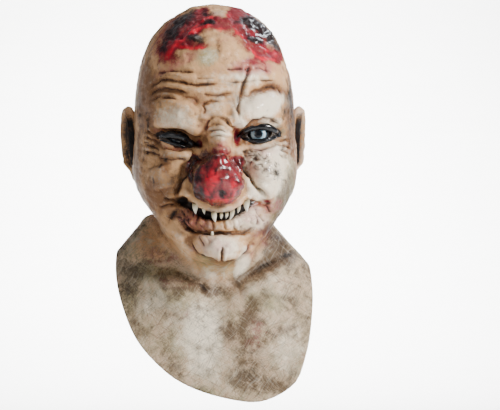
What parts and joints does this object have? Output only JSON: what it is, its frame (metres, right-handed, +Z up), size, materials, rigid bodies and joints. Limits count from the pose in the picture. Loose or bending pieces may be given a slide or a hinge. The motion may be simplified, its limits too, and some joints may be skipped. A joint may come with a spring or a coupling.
{
  "type": "goblin mask",
  "caption": "Pull-over latex goblin mask with a bulbous nose, fangs, inset eyes, ears, neck and chest bib, worn over the whole head.",
  "frame": {"origin": "inside of the crown, where the mask rests on the top of the wearer's head", "axes": "+Z up, -Y the way the face looks, +X to the right of someone who looks at the face"},
  "size_m": [0.1947, 0.2374, 0.3863],
  "materials": {
    "latex_skin": "painted latex, satin, glossy on the wounds and nose",
    "eye_resin_pale": "cast resin, gloss",
    "eye_resin_dark": "cast resin, gloss",
    "fang_resin": "stained ivory, gloss"
  },
  "bodies": {
    "root": {"mask_skin": "latex_skin", "eye_squinting": "eye_resin_dark", "eye_open": "eye_resin_pale", "fang_1": "fang_resin", "fang_2": "fang_resin", "fang_3": "fang_resin", "fang_4": "fang_resin", "fang_5": "fang_resin", "fang_6": "fang_resin", "fang_7": "fang_resin", "fang_8": "fang_resin", "lower_fang_1": "fang_resin", "lower_fang_2": "fang_resin", "lower_fang_3": "fang_resin"}
  },
  "joints": []
}
